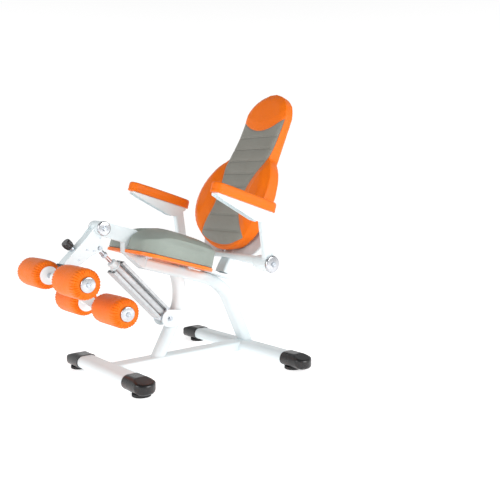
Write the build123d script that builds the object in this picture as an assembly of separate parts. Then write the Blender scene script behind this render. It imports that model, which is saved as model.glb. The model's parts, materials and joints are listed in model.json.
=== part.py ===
from build123d import *
import math
import os

# Seated leg extension and leg curl chair with a hydraulic resistance cylinder.
# Millimetres. +Z is up, the user faces -X, the near side is -Y, the floor is Z = 0.
# Every piece is modelled with X = 0 on the front foot line, then moved by ORIGIN_X
# so that the stored origin is the centre of the footprint on the floor.

ORIGIN_X = -339.65

# --- side view reference points (x, z) and angles ---------------------------------
LEVER_PIVOT = (-26.0, 625.0)
ROD_PIN = (-38.0, 547.0)
CYLINDER_PIN = (279.0, 226.0)
LEVER_SLOPE = 44.0            # lever below the horizontal, pointing forward
SEAT_FRONT = (100.0, 530.0)   # front top edge of the seat board
SEAT_SLOPE = 15.5
BACK_FOOT = (580.0, 507.0)    # lower end of the backrest's front face
BACK_RECLINE = 24.0
ARM_HUB = (593.0, 463.0)
ARM_SLOPE = 16.5
REAR_FOOT_X = 704.5

# --- base -------------------------------------------------------------------------
PAD_HEIGHT = 14.0
PAD_RADIUS = 37.0
STUD_RADIUS = 6.0
TUBE_WALL = 3.0
CROSS_WIDTH = 88.0
CROSS_HEIGHT = 52.0
FRONT_HALF = 208.0            # half length of the front cross tube
REAR_HALF = 338.0
FRONT_PAD_Y = 258.0
REAR_PAD_Y = 352.0
CAP_OVERLAP = 20.0
CAP_SKIN = 3.5
CAP_REACH = 106.0             # how far a foot cap reaches past its tube
CAP_NOSE = 52.0               # length of the cap's bullet-shaped end
CAP_SLOPE = 17.0              # fall of the cap's top towards its end, in degrees
CAP_EDGE = 12.0
SPINE_WIDTH = 70.0
SPINE_HEIGHT = 48.0

# --- frame tubes ------------------------------------------------------------------
POST_RADIUS = 30.0
RAIL_WIDTH = 68.0
RAIL_DEPTH = 48.0
ARM_PLATE = 36.0              # width of the fixed pivot arm
EAR_INNER = 30.6
EAR_THICK = 7.0
EAR_RADIUS = 38.0

# --- lever ------------------------------------------------------------------------
HUB_RADIUS = 29.0
AXLE_RADIUS = 10.0
PLATE_INNER = 19.0            # inner face of each lever side plate
PLATE_THICK = 5.0
RING_OUT = 34.5               # outer end of the hub rings
LEVER_FRONT = 22.0            # front face of the lever, forward of the pivot line
OUTER_START = 90.0
OUTER_END = 212.0
OUTER_DEPTH = 45.0
OUTER_WALL = 3.0
SLIDE_TRAVEL = 60.0

# --- roller carriage --------------------------------------------------------------
UPPER_ROLLER = (258.0, -2.0)  # along the lever, forward of the pivot line
LOWER_ROLLER = (232.0, -200.0)
ROLLER_RADIUS = 57.5
ROLLER_IN = 70.0
ROLLER_OUT = 257.0
CORE_RADIUS = 19.0
ROLLER_AXLE = 10.0

# --- hydraulic cylinder -----------------------------------------------------------
PROFILE_WIDE = 60.0           # across the chair
PROFILE_DEEP = 66.0           # in the side view
BODY_START = 116.0            # distances from the rod pin along the cylinder
BODY_END = 424.0
BORE_RADIUS = 20.0
ROD_RADIUS = 8.0
EYE_OFFSET = (-5.4, -5.4)     # rod eye against its pin, along and across the rod
EYE_HOLE = 14.2
EYE_RADIUS = 19.5
PIN_RADIUS = 5.0
FIT = 0.05


def unit(angle):
    """Direction in the side view, angle in degrees above +X."""
    rad = math.radians(angle)
    return (math.cos(rad), 0, math.sin(rad))


def side_frame(origin, angle, toward=1):
    """Side-view working plane: local x along the angle, local z along toward * Y."""
    return Plane(origin=(origin[0], 0, origin[1]), x_dir=unit(angle), z_dir=(0, toward, 0))


LEVER = side_frame(LEVER_PIVOT, 180 + LEVER_SLOPE)      # local (along, forward, Y)
SEAT = side_frame(SEAT_FRONT, -SEAT_SLOPE, -1)          # local (rearward, up, -Y)
BACK = side_frame(BACK_FOOT, 90 - BACK_RECLINE)         # local (up, rearward, Y)
ROD_SPAN = math.hypot(CYLINDER_PIN[0] - ROD_PIN[0], CYLINDER_PIN[1] - ROD_PIN[1])
ROD_ANGLE = math.degrees(math.atan2(CYLINDER_PIN[1] - ROD_PIN[1], CYLINDER_PIN[0] - ROD_PIN[0]))
STRUT = side_frame(ROD_PIN, ROD_ANGLE)                  # local (towards the base, down, Y)


def rod_y(x, z, radius, y0, y1):
    """Cylinder parallel to Y through (x, z)."""
    return Pos(x, (y0 + y1) / 2, z) * Rot(90, 0, 0) * Cylinder(radius, abs(y1 - y0))


def ring_y(x, z, outer, inner, y0, y1):
    return rod_y(x, z, outer, y0, y1) - rod_y(x, z, inner, 1.1 * y0 - 0.1 * y1, 1.1 * y1 - 0.1 * y0)


def local_rod(x, y, radius, z0, z1):
    """Cylinder along local z of a working plane."""
    return Pos(x, y, (z0 + z1) / 2) * Cylinder(radius, abs(z1 - z0))


def slab(sketch, z0, z1):
    """Sketch in local x-y given a thickness from z0 to z1."""
    return Pos(0, 0, z0) * extrude(sketch, z1 - z0)


def mirrored(shape):
    return mirror(shape, Plane.XZ)


def hull_of(*circles):
    """Outline around circles given as (x, y, radius)."""
    rims = [Pos(x, y) * Circle(r).edge() for x, y, r in circles]
    return make_hull(rims)


def group(*shapes):
    solids = []
    for shape in shapes:
        solids.extend(shape.solids())
    return Compound(children=solids)


def box_tube(length, width, depth, wall, radius, x0=0.0):
    """Hollow tube along local x, centred on local y and z."""
    outer = RectangleRounded(width, depth, radius)
    inner = RectangleRounded(width - 2 * wall, depth - 2 * wall, max(radius - wall, 0.6))
    ends = Plane(origin=(x0, 0, 0), x_dir=(0, 0, 1), z_dir=(1, 0, 0))
    return extrude(ends * (outer - inner), length)


def dome(radius, height, z0, direction, edge):
    """Low domed cap on the local z axis, with a soft rim."""
    cap = Pos(0, 0, z0 + direction * height / 2) * Cylinder(radius, height)
    face_z = z0 + direction * height
    rim = [e for e in cap.edges() if abs(e.center().Z - face_z) < 0.01 and e.geom_type == GeomType.CIRCLE]
    return fillet(rim, edge)


# ------------------------------------------------------------------------ base frame
def cross_section(grow=0.0):
    return SlotOverall(CROSS_WIDTH + 2 * grow, CROSS_HEIGHT + 2 * grow)


CROSS_Z = PAD_HEIGHT + CROSS_HEIGHT / 2 + 1.5
CAP_BOTTOM = CROSS_Z - CROSS_HEIGHT / 2 - CAP_SKIN


def cross_bar(x, half, grow=0.0):
    frame = Plane(origin=(x, half, CROSS_Z), x_dir=(1, 0, 0), z_dir=(0, -1, 0))
    return extrude(frame * cross_section(grow), 2 * half)


def cross_tube(x, half):
    return cross_bar(x, half) - cross_bar(x, half + 1, -TUBE_WALL)


def foot_cap(x, half):
    """Bullet-nosed cap over the end of a cross tube, on the +Y side."""
    start = half - CAP_OVERLAP
    tip = half + CAP_REACH
    wide = CROSS_WIDTH / 2 + CAP_SKIN
    frame = Plane(origin=(x, start, CROSS_Z), x_dir=(-1, 0, 0), z_dir=(0, 1, 0))
    cap = extrude(frame * cross_section(CAP_SKIN), tip - start)
    plan = Pos(x, (start - 1 + tip - CAP_NOSE) / 2) * Rectangle(2 * wide + 10, tip - CAP_NOSE - start + 1)
    plan += Pos(x, tip - CAP_NOSE) * Ellipse(wide + 5, CAP_NOSE)
    cap &= extrude(plan, CAP_BOTTOM + 3 * CROSS_HEIGHT)
    over = Pos(x, tip - 62, CROSS_Z + wide - CROSS_WIDTH / 2 + CROSS_HEIGHT / 2)
    cap -= over * Rot(-CAP_SLOPE, 0, 0) * Pos(0, 50, 50) * Box(200, 150, 100)
    creases = [e for e in cap.edges() if e.center().Y > tip - CAP_NOSE - 4]
    cap = fillet(creases, CAP_EDGE)
    return cap - extrude(frame * cross_section(0), CAP_OVERLAP)


def foot_pad(x, y):
    """Rubber foot with a stud that is pressed into the cap."""
    height = CAP_BOTTOM
    pad = Pos(x, y, height / 2) * Cylinder(PAD_RADIUS, height)
    low = [e for e in pad.edges() if abs(e.center().Z) < 0.01 and e.geom_type == GeomType.CIRCLE]
    pad = chamfer(low, 2)
    return pad + Pos(x, y, height + 5) * Cylinder(STUD_RADIUS, 10)


def base_parts():
    caps = []
    pads = []
    for x, half, pad_y in ((0, FRONT_HALF, FRONT_PAD_Y), (REAR_FOOT_X, REAR_HALF, REAR_PAD_Y)):
        cap = foot_cap(x, half) - Pos(x, pad_y, CAP_BOTTOM + 5) * Cylinder(STUD_RADIUS, 10.2)
        caps += [cap, mirrored(cap)]
        pads += [foot_pad(x, pad_y), foot_pad(x, -pad_y)]
    spine = Pos(0, 0, CROSS_Z) * box_tube(REAR_FOOT_X, SPINE_HEIGHT, SPINE_WIDTH, TUBE_WALL, 10)
    spine -= cross_bar(0, FRONT_HALF) + cross_bar(REAR_FOOT_X, REAR_HALF)
    return {
        "base_spine": spine,
        "front_cross_tube": cross_tube(0, FRONT_HALF),
        "rear_cross_tube": cross_tube(REAR_FOOT_X, REAR_HALF),
        "foot_end_caps": group(*caps),
        "foot_pads": group(*pads),
    }


def across_turn(path):
    """Turns a section so that its first size lies along Y."""
    start = path ^ 0
    return Rot(0, 0, 90) if abs(start.x_axis.direction.Y) < 0.5 else Rot(0, 0, 0)


def swept_tube(path, outer, inner):
    start = path ^ 0
    return sweep(start * outer, path) - sweep(start * inner, path)


def solid_sweep(path, section):
    return sweep((path ^ 0) * section, path)


def front_post_path():
    lower = Line((226, 0, 40), (298, 0, 168))
    top = (321, 0, 462)
    return lower + Spline((298, 0, 168), (351, 0, 312), top, tangents=[(72, 0, 128), (-62, 0, 170)])


def rail_path():
    front = (166, 0, 471)
    bend_in = (478, 0, 381.5)
    bend_out = (625, 0, 270)
    foot = (733, 0, 45)
    rail_dir = (312, 0, -89.5)
    post_dir = (108, 0, -225)
    curve = Spline(bend_in, bend_out, tangents=[rail_dir, post_dir])
    return Line(front, bend_in) + curve + Line(bend_out, foot)


def frame_parts():
    rail_line = rail_path()
    outer = RectangleRounded(RAIL_WIDTH, RAIL_DEPTH, 15)
    inner = RectangleRounded(RAIL_WIDTH - 2 * TUBE_WALL, RAIL_DEPTH - 2 * TUBE_WALL, 12)
    turn = across_turn(rail_line)
    rail_solid = solid_sweep(rail_line, turn * outer)
    rail = rail_solid - solid_sweep(rail_line, turn * inner)
    floor_cut = cross_bar(REAR_FOOT_X, REAR_HALF)
    spine_box = Pos(REAR_FOOT_X / 2, 0, CROSS_Z) * Box(REAR_FOOT_X, SPINE_WIDTH, SPINE_HEIGHT)
    low_cut = Pos(800, 0, 20) * Box(400, 200, 41)
    rail = rail - floor_cut - spine_box - low_cut
    post_line = front_post_path()
    post = swept_tube(post_line, Circle(POST_RADIUS), Circle(POST_RADIUS - TUBE_WALL))
    post = post - spine_box - rail_solid
    post = max(post.solids(), key=lambda s: s.volume)
    rail = max(rail.solids(), key=lambda s: s.volume)
    return {"seat_rail_tube": rail, "front_post": post}


# ----------------------------------------------------------------- fixed pivot arm
ARM_DROP = 19.0               # the arm falls this much behind the lever pivot
ARM_REACH = 168.0


def pivot_arm():
    frame = side_frame(LEVER_PIVOT, -ARM_DROP, -1)
    beam = frame * slab(hull_of((0, 0, HUB_RADIUS - 0.5), (ARM_REACH - 20, 6, 32)), -18, 18)
    neck_outline = Polyline((76, 575), (76, 521), (150, 501), (158, 560), (76, 575))
    neck = Plane.XZ * Pos(0, 0, -18) * extrude(make_face(neck_outline), ARM_PLATE)
    top_rect = Plane(origin=(113, 0, 511), x_dir=(0, 1, 0), z_dir=(0.264, 0, 0.964))
    end_rect = Plane(origin=(165.8, 0, 471.06), x_dir=(0, 1, 0), z_dir=(-0.961, 0, 0.276))
    foot = loft([top_rect * Rectangle(ARM_PLATE, 76), end_rect * Rectangle(RAIL_WIDTH - 6, 44)])
    arm = beam + neck + foot
    behind = Plane(origin=(165.9, 0, 471.03), x_dir=(0, 1, 0), z_dir=(0.961, 0, -0.276))
    arm -= behind * Pos(0, 0, 50) * Box(100, 100, 100)
    arm -= rod_y(*LEVER_PIVOT, AXLE_RADIUS, -40, 40)
    return arm


def pivot_axle():
    return rod_y(*LEVER_PIVOT, AXLE_RADIUS, -RING_OUT, RING_OUT)


def cylinder_bracket():
    x, z = CYLINDER_PIN
    plates = []
    for sign in (1, -1):
        outline = hull_of((x, z, EAR_RADIUS), (x + 62, z - 30, 9), (x + 58, z + 22, 9))
        y0 = EAR_INNER if sign > 0 else -EAR_INNER - EAR_THICK
        plate = Plane.XZ * Pos(0, 0, -y0 - EAR_THICK) * extrude(outline, EAR_THICK)
        plates.append(plate - rod_y(x, z, PIN_RADIUS + 1, -60, 60))
    return plates


def cylinder_bolt():
    x, z = CYLINDER_PIN
    out = EAR_INNER + EAR_THICK
    shaft = rod_y(x, z, PIN_RADIUS + 1, -out, out)
    heads = rod_y(x, z, 11, out, out + 2) + rod_y(x, z, 11, -out - 2, -out)
    hexes = []
    for sign in (1, -1):
        frame = Plane(origin=(x, sign * (out + 2), z), x_dir=(1, 0, 0), z_dir=(0, sign, 0))
        hexes.append(extrude(frame * RegularPolygon(8.5, 6), 6))
    return shaft + heads + hexes[0] + hexes[1]


# ------------------------------------------------------------------------------ seat
SEAT_DEPTH = 385.0
SEAT_HALF = 173.0
SEAT_PAD = 104.0
BOARD = 12.0
SLOT_HALF = 21.0
SLOT_DEPTH = 92.0
SEAT_NOSE = 24.0              # how far the seat reaches ahead of SEAT_FRONT


def seat_plan(inset=0.0):
    """Seat outline looking down: square front corners, broad round rear corners."""
    half = SEAT_HALF - inset
    rear = SEAT_DEPTH - inset
    front = inset - SEAT_NOSE
    corner = 130.0
    small = 66.0
    body = Polyline((front, -half), (rear, -half), (rear, half), (front, half), (front, -half))
    face = make_face(body)
    back = [v for v in face.vertices() if v.X > rear - 1]
    face = fillet(back, corner)
    fore = [v for v in face.vertices() if v.X < front + 1]
    face = fillet(fore, small)
    slot = Pos(front + SLOT_DEPTH / 2 - 10, 0) * Rectangle(SLOT_DEPTH + 20, 2 * SLOT_HALF)
    return face - slot


def seat_frame_xy():
    """Plane of the seat board's top: local x rearward, local y = Y, local z up."""
    return Plane(origin=(SEAT_FRONT[0], 0, SEAT_FRONT[1]), x_dir=unit(-SEAT_SLOPE),
                 z_dir=unit(90 - SEAT_SLOPE))


def seat_parts():
    frame = seat_frame_xy()
    board = frame * Pos(0, 0, -BOARD) * extrude(seat_plan(0), BOARD)
    block = frame * extrude(seat_plan(1.5), SEAT_PAD + 10)
    crown = ((-SEAT_NOSE, 42), (-12, 62), (16, 85), (60, SEAT_PAD - 1), (120, SEAT_PAD + 6),
             (210, SEAT_PAD + 6), (300, SEAT_PAD), (390, 82))
    sides = Polyline(crown[-1], (390, 0), (-SEAT_NOSE, 0), crown[0])
    profile = make_face(sides + Spline(*crown))
    cushion = block & (SEAT * slab(profile, -SEAT_HALF, SEAT_HALF))
    brackets = []
    bolts = []
    for s in (48, 265):
        for side in (1, -1):
            bar = frame * Pos(s, side * 62, -BOARD - 3) * Box(34, 66, 6)
            brackets.append(bar)
            bolts.append(frame * Pos(s, side * 82, -BOARD - 8.5) * Cylinder(5.5, 5))
    return {
        "seat_board": board,
        "seat_cushion": cushion,
        "seat_brackets": group(*brackets),
        "seat_bolts": group(*bolts),
    }


# -------------------------------------------------------------------------- backrest
LOBE_RADIUS = 246.0
LOBE_CENTRE = 243.0
NECK_HALF = 146.0
BACK_HEIGHT = 790.0
BACK_PAD = 50.0
SHELL = 8.0
LUMBAR = 45.0
WING_SWEEP = 34.0             # how far the lobe edges come forward at the back
UPRIGHT_WIDE = 66.0
UPRIGHT_DEEP = 36.0


def back_stem():
    top = BACK_HEIGHT - NECK_HALF
    stem = Pos((LOBE_CENTRE + top) / 2, 0) * Rectangle(top - LOBE_CENTRE, 2 * NECK_HALF)
    return stem + Pos(top, 0) * Circle(NECK_HALF)


def back_frame_xy(offset=0.0):
    """Plane of the backrest: local x up the back, local y = -Y, local z forward."""
    frame = Plane(origin=(BACK_FOOT[0], 0, BACK_FOOT[1]), x_dir=unit(90 - BACK_RECLINE),
                  z_dir=unit(180 - BACK_RECLINE))
    return frame.offset(offset)


def backrest_cushion():
    """Keyhole pad with a lumbar swell; the side lobes sweep forward at the back."""
    rear = back_frame_xy(-BACK_PAD)
    depth = BACK_PAD + LUMBAR + 5
    lobe = rear * extrude(Pos(LOBE_CENTRE, 0) * Circle(LOBE_RADIUS), depth)
    sweep_radius = (LOBE_RADIUS ** 2 + WING_SWEEP ** 2) / (2 * WING_SWEEP)
    drum = Pos(LOBE_CENTRE, BACK_PAD - sweep_radius, 0) * Rot(0, 90, 0) * Cylinder(sweep_radius, 700)
    block = (lobe & (BACK * drum)) + rear * extrude(back_stem(), depth)
    front = Spline((-4, 10), (60, -24), (215, -LUMBAR), (420, -22), (570, 0), (700, 2), (800, 14))
    back = Polyline((800, 14), (800, BACK_PAD), (30, BACK_PAD), (-4, 22), (-4, 10))
    return block & (BACK * slab(make_face(front + back), -LOBE_RADIUS - 5, LOBE_RADIUS + 5))


def backrest_shell():
    outline = Pos(92, 0) * RectangleRounded(205, 430, 95) + Pos(360, 0) * RectangleRounded(520, 220, 50)
    notch = Rectangle(150, 78)
    return back_frame_xy(-BACK_PAD - SHELL) * extrude(outline - notch, SHELL)


def backrest_upright():
    """Tube from the rail plate, bending to run up behind the shell."""
    centre = BACK_PAD + SHELL + UPRIGHT_DEEP / 2
    low = tuple(BACK.from_local_coords(Vector(72, centre, 0)))
    high = tuple(BACK.from_local_coords(Vector(520, centre, 0)))
    bend = Spline((588, 0, 396), low, tangents=[(0.45, 0, 0.9), unit(90 - BACK_RECLINE)])
    path = bend + Line(low, high)
    turn = across_turn(path)
    outer = turn * RectangleRounded(UPRIGHT_WIDE, UPRIGHT_DEEP, 9)
    inner = turn * RectangleRounded(UPRIGHT_WIDE - 6, UPRIGHT_DEEP - 6, 6)
    tube = solid_sweep(path, outer) - solid_sweep(path, inner)
    tilt = unit(-19)
    plate = Plane(origin=(548, 0, 385), x_dir=tilt, z_dir=(-tilt[2], 0, tilt[0]))
    foot = plate * extrude(RectangleRounded(150, 76, 34), 7)
    below = plate * Pos(0, 0, -197) * Box(400, 200, 400)
    return (tube - below) + foot


def backrest_parts():
    return {
        "backrest_cushion": backrest_cushion(),
        "backrest_shell": backrest_shell(),
        "backrest_upright": backrest_upright(),
    }


# ------------------------------------------------------------------------- arm rests
ARM_SLEEVE_IN = 258.0
ARM_SLEEVE_OUT = 334.0
ARM_Y = 316.0
SLEEVE_RADIUS = 34.0
SPINDLE_RADIUS = 22.0


def arm_cross_tube():
    """Tapered beams from the upright to the arm spindles, level along the top."""
    x, z = ARM_HUB
    halves = []
    for side in (1, -1):
        inner = Plane(origin=(x + 8, side * 33, 477), x_dir=(1, 0, 0), z_dir=(0, side, 0))
        outer = Plane(origin=(x, side * 250, 469), x_dir=(1, 0, 0), z_dir=(0, side, 0))
        beam = loft([inner * Circle(13), outer * Circle(22)])
        y_flange = side * 250
        flange = rod_y(x, z, 32, y_flange, side * (ARM_SLEEVE_IN - 0.4))
        spindle = rod_y(x, z, SPINDLE_RADIUS, side * (ARM_SLEEVE_IN - 0.4), side * ARM_SLEEVE_OUT)
        halves.append(beam + flange + spindle)
    bar = rod_y(x + 8, 477, 12, -33, 33)
    return halves[0] + halves[1] + bar


def arm_bushes():
    bushes = []
    for side in (1, -1):
        y0 = side * (ARM_SLEEVE_IN + 2)
        y1 = side * (ARM_SLEEVE_OUT - 2)
        bushes.append(ring_y(*ARM_HUB, SPINDLE_RADIUS + 4, SPINDLE_RADIUS, y0, y1))
    return bushes


def arm_frame_plane():
    return side_frame((461, 745), -ARM_SLOPE, -1)


def arm_bracket():
    """Folded channel under the arm pad, deepest over the post."""
    outline = Polyline((-150, -23), (150, -23), (150, -34), (98, -78), (64, -78), (-118, -42),
                       (-150, -33), (-150, -23))
    body = slab(make_face(outline), -20, 20)
    hollow = Pos(0, -5, 0) * slab(make_face(outline), -16, 16)
    return arm_frame_plane() * (body - hollow)


def arm_parts(side):
    """One arm rest: welded frame, pad and hub cap; side is +1 for the +Y arm."""
    post_line = Line((ARM_HUB[0], 0, ARM_HUB[1]), (562, 0, 680))
    turn = across_turn(post_line)
    post = solid_sweep(post_line, turn * RectangleRounded(30, 50, 9))
    post -= solid_sweep(post_line, turn * RectangleRounded(24, 44, 6))
    pad_top = arm_frame_plane() * slab(Rectangle(500, 46.2), -60, 60)
    post = Pos(0, ARM_Y, 0) * (post - pad_top)
    bore = SPINDLE_RADIUS + 4 + FIT
    sleeve_solid = rod_y(*ARM_HUB, SLEEVE_RADIUS, ARM_SLEEVE_IN, ARM_SLEEVE_OUT)
    post = post - sleeve_solid
    bracket = Pos(0, ARM_Y, 0) * arm_bracket()
    post = max((post - bracket).solids(), key=lambda s: s.volume)
    sleeve = sleeve_solid - rod_y(*ARM_HUB, bore, ARM_SLEEVE_IN - 1, ARM_SLEEVE_OUT + 1)
    frame = sleeve + post + bracket
    plan = SlotOverall(342, 66)
    pad_plane = Plane(origin=(461, ARM_Y, 745), x_dir=unit(-ARM_SLOPE), z_dir=unit(90 - ARM_SLOPE))
    pad = pad_plane.offset(-22.7) * extrude(plan, 45)
    top = [e for e in pad.edges() if e.length > 20 and pad_plane.to_local_coords(e.center()).Z > 20]
    pad = fillet(top, 10)
    cap_origin = (ARM_HUB[0], ARM_SLEEVE_OUT + 0.4, ARM_HUB[1])
    cap_frame = Plane(origin=cap_origin, x_dir=(1, 0, 0), z_dir=(0, 1, 0))
    cap = cap_frame * (dome(37, 12, 0, 1, 8) + Pos(0, 0, 13) * Cylinder(6, 4))
    if side < 0:
        frame, pad, cap = mirrored(frame), mirrored(pad), mirrored(cap)
    name = "right" if side > 0 else "left"
    return {f"{name}_arm_frame": frame, f"{name}_arm_pad": pad, f"{name}_arm_hub_cap": cap}


# ----------------------------------------------------------------------------- lever
def lever_outline():
    """Side plate of the lever: round head, rear lobe for the rod pin, tapering foot."""
    head = hull_of((0, 0, HUB_RADIUS), (66, 8, 14))
    lobe = hull_of((40, -10, 16), (rod_pin_local()[0], rod_pin_local()[1], 14), (100, -28, 18), (60, 0, 20))
    foot = Polyline((30, LEVER_FRONT), (OUTER_END - 6, LEVER_FRONT), (OUTER_END - 6, -22), (160, -34),
                    (100, -46), (60, -20), (30, LEVER_FRONT))
    return head + lobe + make_face(foot)


def rod_pin_local():
    point = LEVER.to_local_coords(Vector(ROD_PIN[0], 0, ROD_PIN[1]))
    return (point.X, point.Y)


def lever_plates():
    plates = []
    for side in (1, -1):
        inner = side * PLATE_INNER
        outer = side * (PLATE_INNER + PLATE_THICK)
        plate = slab(lever_outline(), min(inner, outer), max(inner, outer))
        plate += local_rod(0, 0, HUB_RADIUS, outer, side * RING_OUT)
        plate -= local_rod(0, 0, AXLE_RADIUS + 4, side * (PLATE_INNER - 1), side * (RING_OUT + 1))
        plate -= local_rod(*rod_pin_local(), PIN_RADIUS, side * 10, side * 40)
        plates.append(LEVER * plate)
    return plates


def lever_bushes():
    bushes = []
    for side in (1, -1):
        bush = local_rod(0, 0, AXLE_RADIUS + 4, side * PLATE_INNER, side * (RING_OUT - 0.5))
        bush -= local_rod(0, 0, AXLE_RADIUS + FIT, side * (PLATE_INNER - 1), side * (RING_OUT + 1))
        bushes.append(LEVER * bush)
    return bushes


def hub_caps():
    caps = []
    for side in (1, -1):
        cap = dome(HUB_RADIUS - 0.4, 9, side * (RING_OUT + 0.5), side, 6)
        cap += Pos(0, 0, side * (RING_OUT + 9.5 + 1.5)) * Cylinder(6, 3)
        caps.append(LEVER * cap)
    return caps


OUTER_MID = LEVER_FRONT - OUTER_DEPTH / 2


def lever_outer_tube():
    length = OUTER_END - OUTER_START
    tube = box_tube(length, 2 * PLATE_INNER, OUTER_DEPTH, OUTER_WALL, 1.2, OUTER_START)
    tube = Pos(0, OUTER_MID, 0) * tube
    cover_outline = Rectangle(OUTER_START - 27, 4)
    cover = Pos((OUTER_START + 27) / 2, LEVER_FRONT - 2, 0) * slab(cover_outline, -PLATE_INNER, PLATE_INNER)
    hole = Pos(LOCK_POS, LEVER_FRONT, 0) * Rot(90, 0, 0) * Cylinder(8, 12)
    return LEVER * (tube + cover - hole)


LOCK_POS = 138.0
BARREL = 24.0                 # height of the lock barrel over the lever


def along_forward(x, radius, y0, y1):
    """Cylinder along the lever's forward direction at distance x."""
    return Pos(x, (y0 + y1) / 2, 0) * Rot(90, 0, 0) * Cylinder(radius, y1 - y0)


def lock_barrel():
    """Threaded barrel that guides the lock pin through the front wall."""
    wall_in = LEVER_FRONT - OUTER_WALL
    barrel = along_forward(LOCK_POS, 8, wall_in, LEVER_FRONT)
    barrel += along_forward(LOCK_POS, 11, LEVER_FRONT, LEVER_FRONT + 13)
    barrel += along_forward(LOCK_POS, 8, LEVER_FRONT + 13, LEVER_FRONT + BARREL)
    barrel -= along_forward(LOCK_POS, 4 + FIT, wall_in - 1, LEVER_FRONT + 3)
    barrel -= along_forward(LOCK_POS, 6.5, LEVER_FRONT + 3, LEVER_FRONT + BARREL - 2)
    barrel -= along_forward(LOCK_POS, 4 + FIT, LEVER_FRONT + BARREL - 3, LEVER_FRONT + 40)
    return LEVER * barrel


def lock_pin():
    shaft = along_forward(LOCK_POS, 4, LEVER_FRONT - 9, LEVER_FRONT + 40)
    collar = along_forward(LOCK_POS, 6.2, LEVER_FRONT + 3.3, LEVER_FRONT + 5.3)
    return LEVER * (shaft + collar)


def lock_spring():
    """Compression spring around the pin, drawn at its pulled length."""
    coil = Helix(pitch=1.7, height=5.1, radius=5.3)
    wire = sweep(Plane(origin=coil @ 0, z_dir=coil % 0) * Circle(0.5), coil, is_frenet=True)
    stand = Plane(origin=(LOCK_POS, LEVER_FRONT + 6.0, 0), x_dir=(1, 0, 0), z_dir=(0, 1, 0))
    return LEVER * (stand * wire)


def lock_knob():
    """Lobed knob with a bevelled head and a skirt over the barrel."""
    core = Circle(16)
    for k in range(6):
        turn = k * math.pi / 3
        core += Pos(12.5 * math.cos(turn), 12.5 * math.sin(turn)) * Circle(7)
    stand = Plane(origin=(LOCK_POS, LEVER_FRONT + 14, 0), x_dir=(1, 0, 0), z_dir=(0, 1, 0))
    base = (Align.CENTER, Align.CENTER, Align.MIN)
    head = extrude(core, 32) & Cone(16, 24, 32, align=base) & Cone(36, 16.5, 32, align=base)
    head -= Cylinder(8.6, 11, align=base)
    head -= Cylinder(4, 27, align=base)
    return LEVER * (stand * head)


def lever_collar():
    """Plastic guide collar in the open end of the outer tube."""
    lip = Pos(OUTER_END + 3, OUTER_MID, 0) * Box(6, OUTER_DEPTH + 4, 2 * PLATE_INNER + 12)
    plug_deep = OUTER_DEPTH - 2 * OUTER_WALL - 0.4
    plug_wide = 2 * (PLATE_INNER - OUTER_WALL) - 0.4
    plug = Pos(OUTER_END - 10, OUTER_MID, 0) * Box(20, plug_deep, plug_wide)
    bore = Pos(OUTER_END, OUTER_MID, 0) * Box(80, inner_depth() + 2 * FIT, inner_width() + 2 * FIT)
    return LEVER * (lip + plug - bore)


def inner_depth():
    return OUTER_DEPTH - 2 * OUTER_WALL - 6


def inner_width():
    return 2 * (PLATE_INNER - OUTER_WALL) - 6


def rod_pin():
    x, y = rod_pin_local()
    out = PLATE_INNER + PLATE_THICK
    pin = local_rod(x, y, PIN_RADIUS, -out, out)
    for side in (1, -1):
        pin += local_rod(x, y, 9, side * out, side * (out + 1.5))
        pin += Pos(x, y, side * (out + 1.5) if side > 0 else -(out + 6.5)) * extrude(RegularPolygon(8, 6), 5)
    return LEVER * pin


def plate_screws():
    """Button-head screws that hold the side plates to the tube."""
    spots = ((32, -22), (88, -36), (104, -12), (156, -14), (186, -14))
    out = PLATE_INNER + PLATE_THICK
    screws = []
    for x, y in spots:
        for side in (1, -1):
            head = local_rod(x, y, 3.8, side * out, side * (out + 1.8))
            screws.append(LEVER * head)
    return screws


def lever_parts():
    return {
        "lever_side_plates": group(*lever_plates()),
        "lever_outer_tube": lever_outer_tube(),
        "lever_hub_bushes": group(*lever_bushes()),
        "lever_hub_caps": group(*hub_caps()),
        "lever_collar": lever_collar(),
        "lever_rod_pin": rod_pin(),
        "lever_plate_screws": group(*plate_screws()),
        "lock_barrel": lock_barrel(),
        "lock_pin": lock_pin(),
        "lock_knob": lock_knob(),
        "lock_spring": lock_spring(),
    }


# -------------------------------------------------------------------- roller carriage
def inner_tube():
    start = OUTER_START + 4
    end = tube_end()
    tube = Pos(0, OUTER_MID, 0) * box_tube(end - start, inner_width(), inner_depth(), 3, 2, start)
    slot_mid = LOCK_POS - SLIDE_TRAVEL / 2
    slot = Pos(slot_mid, OUTER_MID + inner_depth() / 2, 0) * Rot(90, 0, 0)
    slot = slot * extrude(SlotOverall(SLIDE_TRAVEL + 12, 9), 8, both=True)
    return LEVER * (tube - slot)


def crossbar():
    """Welded bar that carries both roller axles below the inner tube."""
    bar = slab(hull_of((*UPPER_ROLLER, 21), (*LOWER_ROLLER, 18)), -inner_width() / 2, inner_width() / 2)
    bar -= Pos(tube_end() - 50, OUTER_MID, 0) * Box(100, inner_depth() + 4, 80)
    for x, y in (UPPER_ROLLER, LOWER_ROLLER):
        bar -= local_rod(x, y, ROLLER_AXLE, -60, 60)
    return LEVER * bar


def tube_end():
    return UPPER_ROLLER[0] - 12


def roller_axle(spot):
    x, y = spot
    return LEVER * local_rod(x, y, ROLLER_AXLE, -ROLLER_OUT + 3, ROLLER_OUT - 3)


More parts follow.
